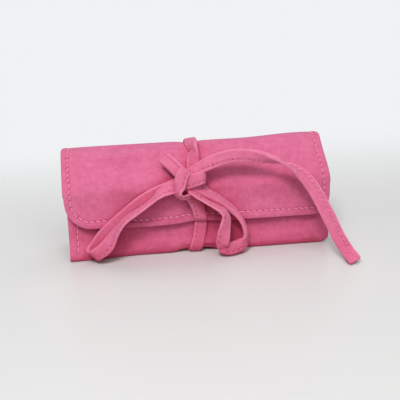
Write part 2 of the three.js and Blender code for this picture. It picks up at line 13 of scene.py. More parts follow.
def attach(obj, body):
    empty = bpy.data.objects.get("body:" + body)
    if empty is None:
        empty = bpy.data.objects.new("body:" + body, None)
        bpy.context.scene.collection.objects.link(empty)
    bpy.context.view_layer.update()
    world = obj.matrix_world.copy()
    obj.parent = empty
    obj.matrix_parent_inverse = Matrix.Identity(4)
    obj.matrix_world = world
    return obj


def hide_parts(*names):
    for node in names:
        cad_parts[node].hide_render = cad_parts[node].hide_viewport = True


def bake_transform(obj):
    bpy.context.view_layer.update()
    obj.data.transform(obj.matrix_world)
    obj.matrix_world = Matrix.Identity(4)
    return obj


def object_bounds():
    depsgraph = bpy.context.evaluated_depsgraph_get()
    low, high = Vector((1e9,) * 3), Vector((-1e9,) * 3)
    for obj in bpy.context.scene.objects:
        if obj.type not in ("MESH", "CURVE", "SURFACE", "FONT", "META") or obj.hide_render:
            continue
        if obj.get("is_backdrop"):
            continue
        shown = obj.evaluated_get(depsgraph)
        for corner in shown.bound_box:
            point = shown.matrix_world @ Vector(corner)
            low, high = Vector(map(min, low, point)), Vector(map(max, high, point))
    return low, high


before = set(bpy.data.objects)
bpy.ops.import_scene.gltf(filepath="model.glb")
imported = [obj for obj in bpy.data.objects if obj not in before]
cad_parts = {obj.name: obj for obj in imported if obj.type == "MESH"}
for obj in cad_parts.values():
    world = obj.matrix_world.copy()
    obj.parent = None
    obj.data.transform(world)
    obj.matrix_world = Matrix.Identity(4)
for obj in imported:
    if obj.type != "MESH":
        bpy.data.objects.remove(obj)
cad_low, cad_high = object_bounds()

# Suede back and flap. One sheet of brushed suede goes up the back, over the top fold and down the front, to a
# lower edge with round corners. Its edges are turned in and sewn down with one line of pink thread.
MM = 0.001
SUEDE = 1.5
SUEDE_DARK = (0.51, 0.084, 0.190, 1)
SUEDE_LIGHT = (0.68, 0.178, 0.316, 1)
HALF_BACK, HALF_FLAP = 99.0, 100.0
FLAP_CORNER_LEFT, FLAP_CORNER_RIGHT = 20.0, 15.0
FLAP_SPARE = 6.0
SEAM, LOW_SEAM = 4.4, 4.8
STRAP_X, STRAP_GRIP = -3.0, 9.0
SLACK = 0.006
EDGE_KICK, SHOULDER, CINCH = 2.8, 2.2, 1.3
# Painted shade: how far the occlusion test looks, and the darker, redder tint it blends into the suede in
# creases, under the flap's edge and behind the straps.
PAINTED_SHADE_REACH, PAINTED_SHADE_TINT = 0.032, (0.76, 0.08, 0.22)


class Sock:
    """A shader tree's output socket. Sums and products of sockets add the nodes that work them out."""

    def __init__(self, tree, socket=None):
        self.tree = tree
        self.socket = socket

    def make(self, kind, settings, inputs, out=0):
        node = self.tree.nodes.new(kind)
        for key, value in settings.items():
            setattr(node, key, value)
        for key, value in inputs.items():
            if isinstance(value, Sock):
                self.tree.links.new(value.socket, node.inputs[key])
            else:
                node.inputs[key].default_value = value
        return Sock(self.tree, node.outputs[out])

    def work(self, operation, first, second):
        flat = all(isinstance(v, (int, float)) or getattr(v, "is_number", False) for v in (first, second))
        kind = "ShaderNodeMath" if flat else "ShaderNodeVectorMath"
        return self.make(kind, {"operation": operation}, {0: first, 1: second})

    @property
    def is_number(self):
        return self.socket.type == "VALUE"

    def __add__(self, other):
        return self.work("ADD", self, other)

    def __radd__(self, other):
        return self.work("ADD", other, self)

    def __sub__(self, other):
        return self.work("SUBTRACT", self, other)

    def __rsub__(self, other):
        return self.work("SUBTRACT", other, self)

    def __mul__(self, other):
        return self.work("MULTIPLY", self, other)

    def __rmul__(self, other):
        return self.work("MULTIPLY", other, self)

    def __truediv__(self, other):
        return self.work("DIVIDE", self, other)

    def __rtruediv__(self, other):
        return self.work("DIVIDE", other, self)

    def between(self, low, high):
        return self.make("ShaderNodeMix", {"data_type": "RGBA"}, {0: self, 6: low, 7: high}, out=2)

    def into(self, shader, name):
        self.tree.links.new(self.socket, shader.inputs[name])


def new_material(name, **constants):
    material = bpy.data.materials.new(name)
    material.use_nodes = True
    shader = material.node_tree.nodes["Principled BSDF"]
    for key, value in constants.items():
        shader.inputs[key.replace("_", " ")].default_value = value
    return material, shader, Sock(material.node_tree)


def suede_material(name, dark, light, pale_nap=(0.78, 0.24, 0.39, 1)):
    """Brushed suede: mottled dye, pale flecks of nap, paler worn edges, and painted shade, deeper and redder,
    in creases.
    """
    material, shader, nodes = new_material(
        name, Roughness=0.95, Specular_IOR_Level=0.08, Sheen_Weight=0.25, Sheen_Roughness=0.6,
        Sheen_Tint=(1.0, 0.6, 0.75, 1))
    place = nodes.make("ShaderNodeTexCoord", {}, {}, out=3)
    noise = lambda scale, detail: nodes.make(
        "ShaderNodeTexNoise", {}, {"Vector": place, "Scale": scale, "Detail": detail, "Roughness": 0.6})
    cloud, nap, fibre, fleck = noise(45.0, 2.0), noise(230.0, 4.0), noise(1900.0, 2.0), noise(620.0, 1.0)
    tone = cloud * 0.5 + nap * 1.1 + fibre * 0.9 - 0.75
    flecks = nodes.make(
        "ShaderNodeMath", {"operation": "MULTIPLY_ADD", "use_clamp": True}, {0: fleck, 1: 7.0, 2: -4.4})
    worn = nodes.make("ShaderNodeAttribute", {"attribute_name": "worn"}, {}, out=2)
    pale = (flecks * 0.4 + worn * 0.35).between(tone.between(dark, light), pale_nap)
    # Painted shade: ambient occlusion blends the colour towards a darker, redder tint in creases, under the
    # flap's edge and behind the loops and knot.
    painted_shade_openness = nodes.make("ShaderNodeAmbientOcclusion", {"samples": 8}, {"Distance": PAINTED_SHADE_REACH}, out=1)
    painted_shade_openness.between(pale * PAINTED_SHADE_TINT, pale).into(shader, "Base Color")
    height = fibre * 0.6 + nap * 0.8
    nodes.make("ShaderNodeBump", {}, {"Strength": 0.5, "Distance": 0.0005, "Height": height}).into(
        shader, "Normal")
    return material


def unit(vectors):
    return vectors / np.maximum(np.linalg.norm(vectors, axis=-1, keepdims=True), 1e-9)


def ease(t):
    t = np.clip(t, 0, 1)
    return t * t * (3 - 2 * t)


def bell(distance, width):
    return np.exp(-(np.asarray(distance, float) / width) ** 2)


def bezier(a, b, c, d, count):
    t = np.linspace(0, 1, count)[:, None]
    a, b, c, d = (np.array(p, float) for p in (a, b, c, d))
    return (1 - t) ** 3 * a + 3 * (1 - t) ** 2 * t * b + 3 * (1 - t) * t ** 2 * c + t ** 3 * d


class Profile:
    """A line in the YZ plane, measured along its length. Its outer side lies to the right of its run."""

    def __init__(self, *runs):
        self.points = np.concatenate([np.array(run, float) for run in runs])
        steps = np.linalg.norm(np.diff(self.points, axis=0), axis=1)
        self.along = np.concatenate([[0], np.cumsum(steps)])
        self.length = self.along[-1]

    def at(self, s):
        return np.stack([np.interp(s, self.along, self.points[:, i]) for i in (0, 1)], axis=-1)

    def normal(self, s):
        run = unit(self.at(np.minimum(s + 1.5, self.length)) - self.at(np.maximum(s - 1.5, 0)))
        return np.stack([run[..., 1], -run[..., 0]], axis=-1)


def add_mesh(name, points, faces, *materials):
    mesh = bpy.data.meshes.new(name)
    mesh.from_pydata((np.asarray(points) * MM).tolist(), [], [list(map(int, face)) for face in faces])
    for material in materials:
        mesh.materials.append(material)
    shape = bmesh.new()
    shape.from_mesh(mesh)
    bmesh.ops.recalc_face_normals(shape, faces=shape.faces)
    shape.to_mesh(mesh)
    shape.free()
    mesh.shade_smooth()
    made = bpy.data.objects.new(name, mesh)
    bpy.context.scene.collection.objects.link(made)
    return made


def soft_sheet(name, outer, inner, material, soft=1.0, rim_steps=5):
    """A closed sheet between two grids of points, with a round rim."""
    rows, cols = outer.shape[:2]
    count = rows * cols
    grid = np.arange(count).reshape(rows, cols)
    quads = lambda g: np.stack([g[:-1, :-1], g[:-1, 1:], g[1:, 1:], g[1:, :-1]], axis=-1).reshape(-1, 4)
    points = [outer.reshape(-1, 3), inner.reshape(-1, 3)]
    faces = [quads(grid), quads(grid + count)[:, ::-1]]
    loop = np.concatenate([grid[0, :-1], grid[:-1, -1], grid[-1, :0:-1], grid[:0:-1, 0]])
    row, col = np.unravel_index(loop, (rows, cols))
    inward = outer[np.clip(row, 1, rows - 2), np.clip(col, 1, cols - 2)]
    middle = (outer[row, col] + inner[row, col]) / 2
    half = (outer[row, col] - inner[row, col]) / 2
    bulge = soft * np.linalg.norm(half, axis=1, keepdims=True) * unit(outer[row, col] - inward)
    before = loop
    for step in range(1, rim_steps):
        turn = math.pi * step / rim_steps
        points.append(middle + half * math.cos(turn) + bulge * math.sin(turn))
        ring = 2 * count + (step - 1) * len(loop) + np.arange(len(loop))
        faces.append(np.stack([before, np.roll(before, -1), np.roll(ring, -1), ring], axis=-1))
        before = ring
    last = loop + count
    faces.append(np.stack([before, np.roll(before, -1), np.roll(last, -1), last], axis=-1))
    return add_mesh(name, np.concatenate(points), np.concatenate(faces), material)


EDGE_GAPS = np.array([0, 0.4, 1.0, 1.8, 2.6, 3.3, 3.9, 4.4, 4.8, 5.3, 5.9, 6.7, 7.8, 9.2, 11, 13, 15.2, 17.5])


def columns(half, spacing=2.4):
    middle = np.linspace(EDGE_GAPS[-1] + spacing, half, int((half - EDGE_GAPS[-1]) / spacing))
    gaps = np.concatenate([EDGE_GAPS, middle])
    return np.concatenate([gaps - half, (half - gaps[:-1])[::-1]])


back_flap = Profile(
    [(20, 9), (20, 73.5)],
    bezier((20, 73.5), (20, 76.8), (18.6, 78), (15.5, 78), 12),
    bezier((11.4, 78), (1.4, 78), (-20, 59), (-20, 50), 40),
    [(-20, 24 - FLAP_SPARE)],
)
flap_run = back_flap.length - FLAP_SPARE
fold_run = 66.0


def half_width(s):
    """Half the sheet's width at s along its profile. The flap is a little wider than the back."""
    return HALF_BACK + (HALF_FLAP - HALF_BACK) * ease((s - fold_run) / 12)


def flap_edge(x):
    return flap_run - 1.0 - 0.9 * ease((-x - 40) / 30) - 1.4 * bell(x - 1, 15) - 0.6 * ease((x - 10) / 20)


def flap_inside(x, s):
    """How far a point lies inside the sheet's outline, with its round corners."""
    corner = np.where(x < 0, FLAP_CORNER_LEFT, FLAP_CORNER_RIGHT)
    to_side, to_edge = half_width(s) - np.abs(x), flap_edge(x) - s
    round_gap = corner - np.hypot(corner - to_side, corner - to_edge)
    return np.where((to_side < corner) & (to_edge < corner), round_gap, np.minimum(to_side, to_edge))


def flap_height(x, s):
    """How far the suede stands off its profile: soft folds, seam, the strap's pull and the lifted edge."""
    inside = flap_inside(x, s)
    on_flap = ease((s - fold_run - 6) / 20)
    full = 1 - np.exp(-np.maximum(inside, 0) / 10)
    soft = 0.45 * np.sin(x / 19 + 0.8) * np.sin(s / 23 + 0.6) + 0.3 * np.sin(x / 9.1 + s / 15 + 2)
    ridge = 0.55 * bell(x - 62 - 0.12 * (s - 90), 3.2) * bell(s - 92, 22)
    folds = ridge - 0.4 * bell(x - 70, 4) * bell(s - 98, 18)
    to_side = np.maximum(half_width(s) - np.abs(x), 0.1)
    to_edge = np.maximum(flap_edge(x) - s, 0.1)
    seam_at = SEAM + (LOW_SEAM - SEAM) * to_side / (to_side + to_edge)
    seam = 0.35 * bell(inside - seam_at / 2, 1.5) - 0.6 * bell(inside - seam_at, 1.0)
    kick = EDGE_KICK * ease((s - flap_run + 16) / 16) * (1 - 0.8 * bell(x - STRAP_X, 14))
    cinch = -CINCH * bell(x - STRAP_X, 7) * bell(s - fold_run, 40)
    peak = SHOULDER * ease((x - 35) / 50) * bell(s - fold_run - 8, 14)
    return full * (0.5 + on_flap * (soft + folds)) + seam + cinch + kick + peak


def flap_place(x, s, lift=0.0):
    """Points of the sheet from its flat measure, across and along."""
    x, s = np.broadcast_arrays(np.asarray(x, float), np.asarray(s, float))
    flat = back_flap.at(s) + back_flap.normal(s) * (flap_height(x, s) + lift)[..., None]
    drawn_in = x - 2.2 * ease((x - 60) / 38) * bell(s - fold_run - 22, 22)
    return np.concatenate([drawn_in[..., None], flat], axis=-1) + flap_sag.at(x, s)


class Sag:
    """How far a slack, sewn sheet moves when it settles under its weight, over a grid in its flat measure."""

    def __init__(self, across, along):
        self.across, self.along = across, along
        self.moved = np.zeros((len(along), len(across), 3))

    def at(self, x, s):
        col = np.clip((x - self.across[0]) / (self.across[1] - self.across[0]), 0, len(self.across) - 1.001)
        row = np.clip((s - self.along[0]) / (self.along[1] - self.along[0]), 0, len(self.along) - 1.001)
        c, r = col.astype(int), row.astype(int)
        u, v = (col - c)[..., None], (row - r)[..., None]
        m = self.moved
        near = (1 - u) * m[r, c] + u * m[r, c + 1]
        far = (1 - u) * m[r + 1, c] + u * m[r + 1, c + 1]
        return (1 - v) * near + v * far

    def settle(self, place, held, slack, frames=30):
        """Lets the sheet settle as cloth, fixed at its rim and where held says, and keeps how it moved."""
        start = place(self.across[None, :], self.along[:, None])
        rows, cols = start.shape[:2]
        grid = np.arange(rows * cols).reshape(rows, cols)
        faces = np.stack([grid[:-1, :-1], grid[:-1, 1:], grid[1:, 1:], grid[1:, :-1]], axis=-1).reshape(-1, 4)
        cloth = add_mesh("settling", start.reshape(-1, 3), faces)
        edge = np.ones((rows, cols), bool)
        edge[1:-1, 1:-1] = False
        fixed = held(self.across[None, :], self.along[:, None]) | edge
        sewn = cloth.vertex_groups.new(name="sewn")
        sewn.add(np.flatnonzero(fixed.ravel()).tolist(), 1.0, "REPLACE")
        settling = cloth.modifiers.new("settling", "CLOTH")
        settling.settings.vertex_group_mass = "sewn"
        settling.settings.quality = 8
        settling.settings.mass = 0.0004
        settling.settings.tension_stiffness = settling.settings.compression_stiffness = 12
        settling.settings.shear_stiffness = 6
        settling.settings.bending_stiffness = 0.02
        settling.settings.shrink_min = -slack
        settling.collision_settings.use_collision = False
        settling.point_cache.frame_end = frames
        scene = bpy.context.scene
        for step in range(1, frames + 1):
            scene.frame_set(step)
        settled = cloth.evaluated_get(bpy.context.evaluated_depsgraph_get()).data.vertices
        spots = np.empty(rows * cols * 3)
        settled.foreach_get("co", spots)
        self.moved = spots.reshape(rows, cols, 3) / MM - start
        scene.frame_set(1)
        bpy.data.objects.remove(cloth)


flap_sag = Sag(np.linspace(-93, 93, 125), np.linspace(fold_run + 8, flap_run - 7, 46))
flap_sag.settle(
    flap_place, lambda x, s: (flap_inside(x, s) < 8) | (np.abs(x - STRAP_X) < STRAP_GRIP), SLACK)


def flap_grid(margin=0.0):
    across = columns(HALF_FLAP - margin)
    corner = np.where(across < 0, FLAP_CORNER_LEFT, FLAP_CORNER_RIGHT) - margin
    into = np.clip(corner - (HALF_FLAP - margin - np.abs(across)), 0, corner)
    end = flap_edge(across) - margin - (corner - np.sqrt(corner ** 2 - into ** 2))
    last = 26.0
    even = np.linspace(0, flap_run - last, 92)
    share = np.concatenate([np.linspace(0, 1, 6)[1:-1] * 0.55, 1 - EDGE_GAPS[13::-1] / last])
    rest = even[-1] + share[:, None] * (end - even[-1])
    s = np.concatenate([np.repeat(even[:, None], len(across), axis=1), rest])
    return across * half_width(s) / HALF_FLAP, s


suede = suede_material("suede", SUEDE_DARK, SUEDE_LIGHT)
grid_x, grid_s = flap_grid()
back_and_flap = soft_sheet(
    "suede_back_flap", flap_place(grid_x, grid_s), flap_place(grid_x, grid_s, -SUEDE), suede)
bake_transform(back_and_flap)
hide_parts("back_panel", "flap_panel")

# Seam of the back and flap. Thick pink thread in long running stitches, a little inside the turned edge. Each
# stitch dives into a needle hole at both ends, and the shade in each hole is painted as a near-black disc.
STITCH_PITCH, STITCH_LENGTH, THREAD = 4.5, 3.7, 0.55


def speckled(name, scale, low, high, **constants):
    """A material whose colour wanders between two tones."""
    material, shader, nodes = new_material(name, **constants)
    place = nodes.make("ShaderNodeTexCoord", {}, {}, out=3)
    noise = nodes.make("ShaderNodeTexNoise", {}, {"Vector": place, "Scale": scale})
    noise.between(low, high).into(shader, "Base Color")
    return material


thread = speckled(
    "thread", 1400.0, (0.68, 0.17, 0.31, 1), (0.82, 0.29, 0.44, 1), Roughness=0.7, Sheen_Weight=0.2,
    Specular_IOR_Level=0.2)
# Painted shade: the near-black colour of the discs that stand for needle holes, in place of the shade inside
# them.
painted_needle_hole_shade = speckled(
    "painted_needle_hole_shade", 900.0, (0.12, 0.012, 0.035, 1), (0.20, 0.025, 0.06, 1), Roughness=1.0,
    Specular_IOR_Level=0.0)


def along_line(line, spacing=0.5):
    """A line of points in a sheet's flat measure, evenly spaced."""
    line = np.asarray(line, float)
    steps = np.concatenate([[0], np.cumsum(np.linalg.norm(np.diff(line, axis=0), axis=1))])
    count = max(int(steps[-1] / spacing), 2)
    even = np.linspace(0, steps[-1], count)
    return np.stack([np.interp(even, steps, line[:, i]) for i in (0, 1)], axis=-1), even


def stitches(name, place, line, pitch=STITCH_PITCH, length=STITCH_LENGTH, radius=THREAD, proud=0.25,
             hole=0.5, slant=0.35, yarn=thread):
    """Running stitches along a line on a sheet, with painted shade of a needle hole, a near-black disc, at
    each end of a stitch.
    """
    flat, even = along_line(line)
    aside = np.gradient(flat, axis=0)[:, ::-1] * (1, -1) / (even[1] - even[0])
    pick = lambda t, values, k: np.interp(t, even, values[:, k])
    spot = lambda t, lift, off=0.0: place(*(pick(t, flat, k) + off * pick(t, aside, k) for k in (0, 1)), lift)
    starts = np.arange(0.6, even[-1] - length, pitch)
    uneven = np.random.default_rng(7).normal(0, 1, (len(starts), 3))
    shares = np.array([0, 0.12, 0.35, 0.65, 0.88, 1.0])
    lifts = np.array([-0.5, 0.05, proud, proud, 0.05, -0.5])
    sizes = radius * np.array([0.7, 0.95, 1, 1, 0.95, 0.7])
    stations, sides = len(shares), 6
    turns = np.linspace(0, 2 * math.pi, sides, endpoint=False)
    points, faces, slots = [], [], []
    total = 0
    for begin, (early, lean, shift) in zip(starts, uneven):
        t = begin + 0.15 * early + shares * length
        off = (slant + 0.1 * lean) * (1 - 2 * shares) + 0.12 * shift
        centre = spot(t, lifts, off)
        out = unit(spot(t, np.ones(stations)) - spot(t, np.zeros(stations)))
        run = unit(np.gradient(centre, axis=0))
        side = unit(np.cross(run, out))
        up = np.cross(side, run)
        ring = centre[:, None] + sizes[:, None, None] * (
            np.cos(turns)[None, :, None] * up[:, None] + np.sin(turns)[None, :, None] * side[:, None])
        points.append(ring.reshape(-1, 3))
        index = total + np.arange(stations * sides).reshape(stations, sides)
        for here, there in zip(index[:-1], index[1:]):
            faces += list(np.stack([here, np.roll(here, -1), np.roll(there, -1), there], axis=-1))
        faces += [index[0][::-1], index[-1]]
        slots += [0] * (len(faces) - len(slots))
        total += index.size
        # Each stitch end gets a near-black disc just proud of the surface, with a dip below it: painted shade
        # of the needle hole.
        for end, aim in ((t[0], off[0]), (t[-1], off[-1])):
            ends = np.array([end])
            middle = spot(ends, np.array([0.0]), aim)[0]
            normal = unit(spot(ends, np.array([1.0]))[0] - middle)
            along = unit(spot(ends + 0.3, np.array([0.0]), aim)[0] - middle)
            across = np.cross(normal, along)
            rim = middle + hole * (np.cos(turns)[:, None] * along + np.sin(turns)[:, None] * across)
            points += [rim + normal * 0.03, middle[None] + normal * 0.09, middle[None] - normal * 0.3]
            hub = total + sides
            for here in range(total, hub):
                there = total + (here - total + 1) % sides
                faces += [[here, there, hub], [there, here, hub + 1]]
            slots += [1] * (len(faces) - len(slots))
            total = hub + 2
    made = add_mesh(name, np.concatenate(points), faces, yarn, painted_needle_hole_shade)
    made.data.polygons.foreach_set("material_index", slots)
    return made


def rounded_seam():
    left, right = FLAP_CORNER_LEFT, FLAP_CORNER_RIGHT
    turn = np.linspace(0, math.pi / 2, 12)
    low = lambda x: flap_edge(np.asarray(x, float))
    side = np.linspace(1, flap_run - left, 40)
    down = np.stack([SEAM - half_width(side), side], axis=-1)
    turn_left = np.stack([
        -(HALF_FLAP - left) - (left - SEAM) * np.cos(turn),
        low(-(HALF_FLAP - left)) - left + (left - LOW_SEAM) * np.sin(turn)], axis=-1)
    bottom_x = np.linspace(-(HALF_FLAP - left), HALF_FLAP - right, 60)
    bottom = np.stack([bottom_x, low(bottom_x) - LOW_SEAM], axis=-1)
    turn_right = np.stack([
        (HALF_FLAP - right) + (right - SEAM) * np.sin(turn),
        low(HALF_FLAP - right) - right + (right - LOW_SEAM) * np.cos(turn)], axis=-1)
    side = np.linspace(flap_run - right, 1, 40)
    rise = np.stack([half_width(side) - SEAM, side], axis=-1)
    return np.concatenate([down, turn_left, bottom, turn_right, rise])


flap_seam = stitches("flap_stitches", flap_place, rounded_seam())
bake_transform(flap_seam)

# Suede front and base. The same suede runs on under the roll and up its front as a section of its own, which
# the flap covers. Its left edge shows the same stitching, and the base rides over the strap.
FRONT_SEAM, FRONT_SEAM_END = 6.0, 44.5
front_base = Profile(
    [(-17.2, 48), (-17.2, 20)],
    bezier((-17.2, 20), (-17.2, 14), (-19.4, 11), (-19.4, 5), 20),
    bezier((-19.4, 5), (-19.4, 1.4), (-17.6, 0), (-15, 0), 12),
    [(12, 0)],
    bezier((12, 0), (16.4, 0), (20, 3.6), (20, 8), 14),
    [(20, 9)],
)


def ride_over(x, z):
    """How far the base rises where the strap runs under it."""
    along = 1 - np.clip((np.abs(x - STRAP_X) - 8) / 12, 0, 1)
    return 2.3 * ease(along) * np.clip((12 - z) / 9, 0, 1)


def front_place(x, s, lift=0.0):
    x, s = np.broadcast_arrays(np.asarray(x, float), np.asarray(s, float))
    flat = front_base.at(s)
    to_side = HALF_BACK - np.abs(x)
    below = ease((15 - flat[..., 1]) / 7) * ease((45 - s) / 2) * ease((to_side - 3) / 12)
    soft = 0.7 + 0.5 * np.sin(x / 13 + 1.2) + 0.35 * np.sin(x / 7.7 + s / 6)
    seam = 0.2 * bell(to_side - 3.0, 1.6) - 0.5 * bell(to_side - FRONT_SEAM, 1.0)
    on_side = ease((flat[..., 1] - 2) / 4) * np.where(flat[..., 0] < 0, 1, 0)
    cinch = -0.5 * bell(x - STRAP_X, 8)
    flat = flat + front_base.normal(s) * (below * soft + on_side * (seam + cinch) + lift)[..., None]
    drawn_in = 1.4 * ease((-x - 70) / 28) - 4.0 * ease((x - 86) / 13) * ease((7 - flat[..., 1]) / 7) ** 2
    points = np.concatenate([(x + drawn_in)[..., None], flat], axis=-1)
    points[..., 1] -= 4.0 * ease((-x - 45) / 50) * ease((14 - flat[..., 1]) / 14) * ease((58 - s) / 8)
    points[..., 2] += ride_over(x, points[..., 2])
    return points + front_sag.at(x, s)


front_sag = Sag(np.linspace(-92, 92, 125), np.linspace(7, 44, 26))
front_sag.settle(
    front_place, lambda x, s: (np.abs(x - STRAP_X) < STRAP_GRIP) | (np.abs(x) > 91), SLACK)
front_x = columns(HALF_BACK)
front_s = np.concatenate([
    EDGE_GAPS[:12], np.linspace(8, 44, 24), np.linspace(44.7, 52, 12), np.linspace(53.5, 75, 14),
    np.linspace(76, front_base.length, 14)])
front_and_base = soft_sheet(
    "suede_front_base", front_place(front_x[None, :], front_s[:, None]),
    front_place(front_x[None, :], front_s[:, None], -SUEDE), suede)
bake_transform(front_and_base)
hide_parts("front_panel")
front_seam_x = FRONT_SEAM - HALF_BACK
front_seam = stitches("front_stitches", front_place, [(front_seam_x, 1), (front_seam_x, FRONT_SEAM_END)])
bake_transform(front_seam)

# Wadding. A lofty felt pad in each section gives it its thickness. It is cut smaller than the section and
# thins out towards its edges, where suede and lining are sewn together.
wadding, wadding_shader, wadding_nodes = new_material("wadding", Roughness=1.0, Specular_IOR_Level=0.05)
wadding_place = wadding_nodes.make("ShaderNodeTexCoord", {}, {}, out=3)
wadding_curl = wadding_nodes.make(
    "ShaderNodeTexNoise", {}, {"Vector": wadding_place, "Scale": 420.0, "Detail": 5.0, "Roughness": 0.75})
wadding_curl.between((0.72, 0.68, 0.62, 1), (0.93, 0.9, 0.86, 1)).into(wadding_shader, "Base Color")
wadding_nodes.make("ShaderNodeBump", {}, {"Strength": 0.7, "Distance": 0.0008, "Height": wadding_curl}).into(
    wadding_shader, "Normal")


def pad_thickness(x, z, low, high, half, run=16.0):
    """How full a section is at a point: 1 in the middle, 0 at the sewn edges."""
    sides = ease((half - np.abs(x)) / run)
    ends = ease((z - low) / 8) * ease((high - z) / 8)
    return sides * ends


def wadding_pad(name, low, high, outer_y, inner_y, body, node):
    x, z = np.meshgrid(np.linspace(-91, 91, 60), np.linspace(low, high, 26))
    full = np.sqrt(np.maximum(pad_thickness(x, z, low - 0.5, high + 0.5, 91.5, 10), 0.02))
    inner = outer_y + (inner_y - outer_y) * full
    made = soft_sheet(
        name, np.stack([x, np.full_like(x, outer_y), z], axis=-1), np.stack([x, inner, z], axis=-1), wadding)
    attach(made, body)
    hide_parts(node)


wadding_pad("wadding_back", 14, 70, 18.0, 14.4, "back_section", "back_padding")
wadding_pad("wadding_front", 14, 44, -15.3, -11.6, "front_section", "front_padding")

# Linings. Plain woven cotton, sewn to the suede round the edges of each section. Over the wadding it stands
# away from the suede, and it lies flat on the inside of the flap and on the base.
LINING = 0.8
lining, lining_shader, lining_nodes = new_material(
    "lining", Roughness=0.85, Sheen_Weight=0.1, Specular_IOR_Level=0.2)
lining_place = lining_nodes.make("ShaderNodeTexCoord", {}, {}, out=3)


def weave(nodes, place, pitch):
    """Height of a plain weave, its threads running along and across the roll."""
    wave = lambda direction: nodes.make(
        "ShaderNodeTexWave", {"bands_direction": direction},
        {"Vector": place, "Scale": pitch, "Distortion": 0.6}, out=1)
    return wave("X") * 0.5 + wave("Z") * 0.5


lining_threads = weave(lining_nodes, lining_place, 260.0)
lining_cloud = lining_nodes.make(
    "ShaderNodeTexNoise", {}, {"Vector": lining_place, "Scale": 70.0, "Detail": 3.0})
lining_tone = lining_threads * 0.15 + lining_cloud * 0.85
lining_tone.between((0.60, 0.27, 0.36, 1), (0.80, 0.46, 0.55, 1)).into(lining_shader, "Base Color")
lining_nodes.make(
    "ShaderNodeBump", {}, {"Strength": 0.15, "Distance": 0.0003, "Height": lining_threads}).into(
        lining_shader, "Normal")

LINING_MARGIN = 5.0
flap_x, flap_s = flap_grid(margin=LINING_MARGIN)
lining_top = fold_run + 6
below_fold = flap_s[:, 0] > lining_top
flap_x, flap_s = flap_x[below_fold], flap_s[below_fold]
flap_lining = soft_sheet(
    "lining_flap", flap_place(flap_x, flap_s, -SUEDE - 0.1), flap_place(flap_x, flap_s, -SUEDE - LINING),
    lining, 0.5)
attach(flap_lining, "flap")
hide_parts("flap_lining")

back_inner = Profile(
    [(13.2, 73.5), (13.2, 10)],
    bezier((13.2, 10), (13.2, 5), (10.5, 2.6), (6, 2.5), 12),
    [(-14.6, 2.5)],
)


def back_lining_place(x, s, lift=0.0):
    x, s = np.broadcast_arrays(np.asarray(x, float), np.asarray(s, float))
    flat = back_inner.at(s)
    full = pad_thickness(x, flat[..., 1], -20, 76.5, 96.5)
    wall = ease((flat[..., 1] - 9) / 6) * np.where(flat[..., 0] > 8, 1, 0)
    points = np.concatenate([x[..., None], flat], axis=-1)
    points[..., 1] += wall * (1 - full) * (4.4 - 2.0 * bell(x - STRAP_X, 10)) - lift * wall
    points[..., 2] += lift * (1 - wall) + 1.35 * ride_over(x, points[..., 2])
    return points


lining_x = np.linspace(-95.5, 95.5, 90)
lining_s = np.linspace(0, back_inner.length, 70)
back_lining = soft_sheet(
    "lining_back", back_lining_place(lining_x[None], lining_s[:, None]),
    back_lining_place(lining_x[None], lining_s[:, None], -LINING), lining, 0.5)
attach(back_lining, "back_section")
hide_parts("back_lining")

front_wall_x, front_wall_z = np.meshgrid(np.linspace(-95.5, 95.5, 90), np.linspace(4.5, 46.5, 40))
front_full = pad_thickness(front_wall_x, front_wall_z, -4, 50, 96.5)
front_wall_y = -15.2 + 4.8 * front_full
front_lining = soft_sheet(
    "lining_front", np.stack([front_wall_x, front_wall_y, front_wall_z], axis=-1),
    np.stack([front_wall_x, front_wall_y - LINING, front_wall_z], axis=-1), lining, 0.5)
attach(front_lining, "front_section")
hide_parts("front_lining")

# Pockets. Two panels of the lining cloth, sewn to the linings along their ends and bottoms. The front one is
# open at its top, which is hemmed. The back one ends at the zip's lower tape.
POCKET_HALF, POCKET_LOW = 92.0, 10.0
HEM_HALF, HEM = 80.0, 3.0


def pocket_panel(name, face_y, sign, bulge, mouth, body, node, gathers):
    path = Profile(bezier((0.3, 0), (bulge, 0), (bulge, 16.8), (mouth, 24), 40))
    s = np.linspace(0, path.length, 30)
    x = np.linspace(-POCKET_HALF, POCKET_HALF, 110)
    flat = path.at(s)
    full = np.sin(np.clip((POCKET_HALF - np.abs(x)) / 9, 0, 1) * math.pi / 2)
    ripple = gathers * np.sin(x / 4.2 + 0.7 * np.sin(x / 11)) * np.clip((POCKET_HALF - np.abs(x)) / 14, 0, 1)
    out = 0.5 + (flat[:, :1] - 0.3) * full[None] + ripple[None] * (s[:, None] / path.length) ** 2
    high = np.repeat(POCKET_LOW + flat[:, 1:], len(x), axis=1)
    across = np.repeat(x[None], len(s), axis=0)
    sewn_y = face_y - sign * 4.5 * (1 - ease((96.5 - np.abs(across)) / 16))
    made = soft_sheet(
        name, np.stack([across, sewn_y + sign * out, high], axis=-1),
        np.stack([across, sewn_y + sign * np.maximum(out - 0.8, 0.1), high], axis=-1), lining, 0.6)
    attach(made, body)
    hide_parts(node)
    place = lambda u, v, lift: np.stack([
        u, face_y + sign * (np.interp(v, s, flat[:, 0] + 0.2) + lift),
        POCKET_LOW + np.interp(v, s, flat[:, 1])], axis=-1)
    hem_s = path.length - HEM
    hem = stitches(
        name + "_stitches", place, [(-HEM_HALF, hem_s), (HEM_HALF, hem_s)], pitch=3.2, length=2.4,
        radius=0.25, proud=0.15, hole=0.2, slant=0.1)
    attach(hem, body)


pocket_panel("pocket_slip", -10.4, 1, 7.5, 6.5, "front_section", "slip_pocket", 0.25)
pocket_panel("pocket_zip", 13.2, -1, 8.0, 7.2, "back_section", "zip_pocket", 0.05)

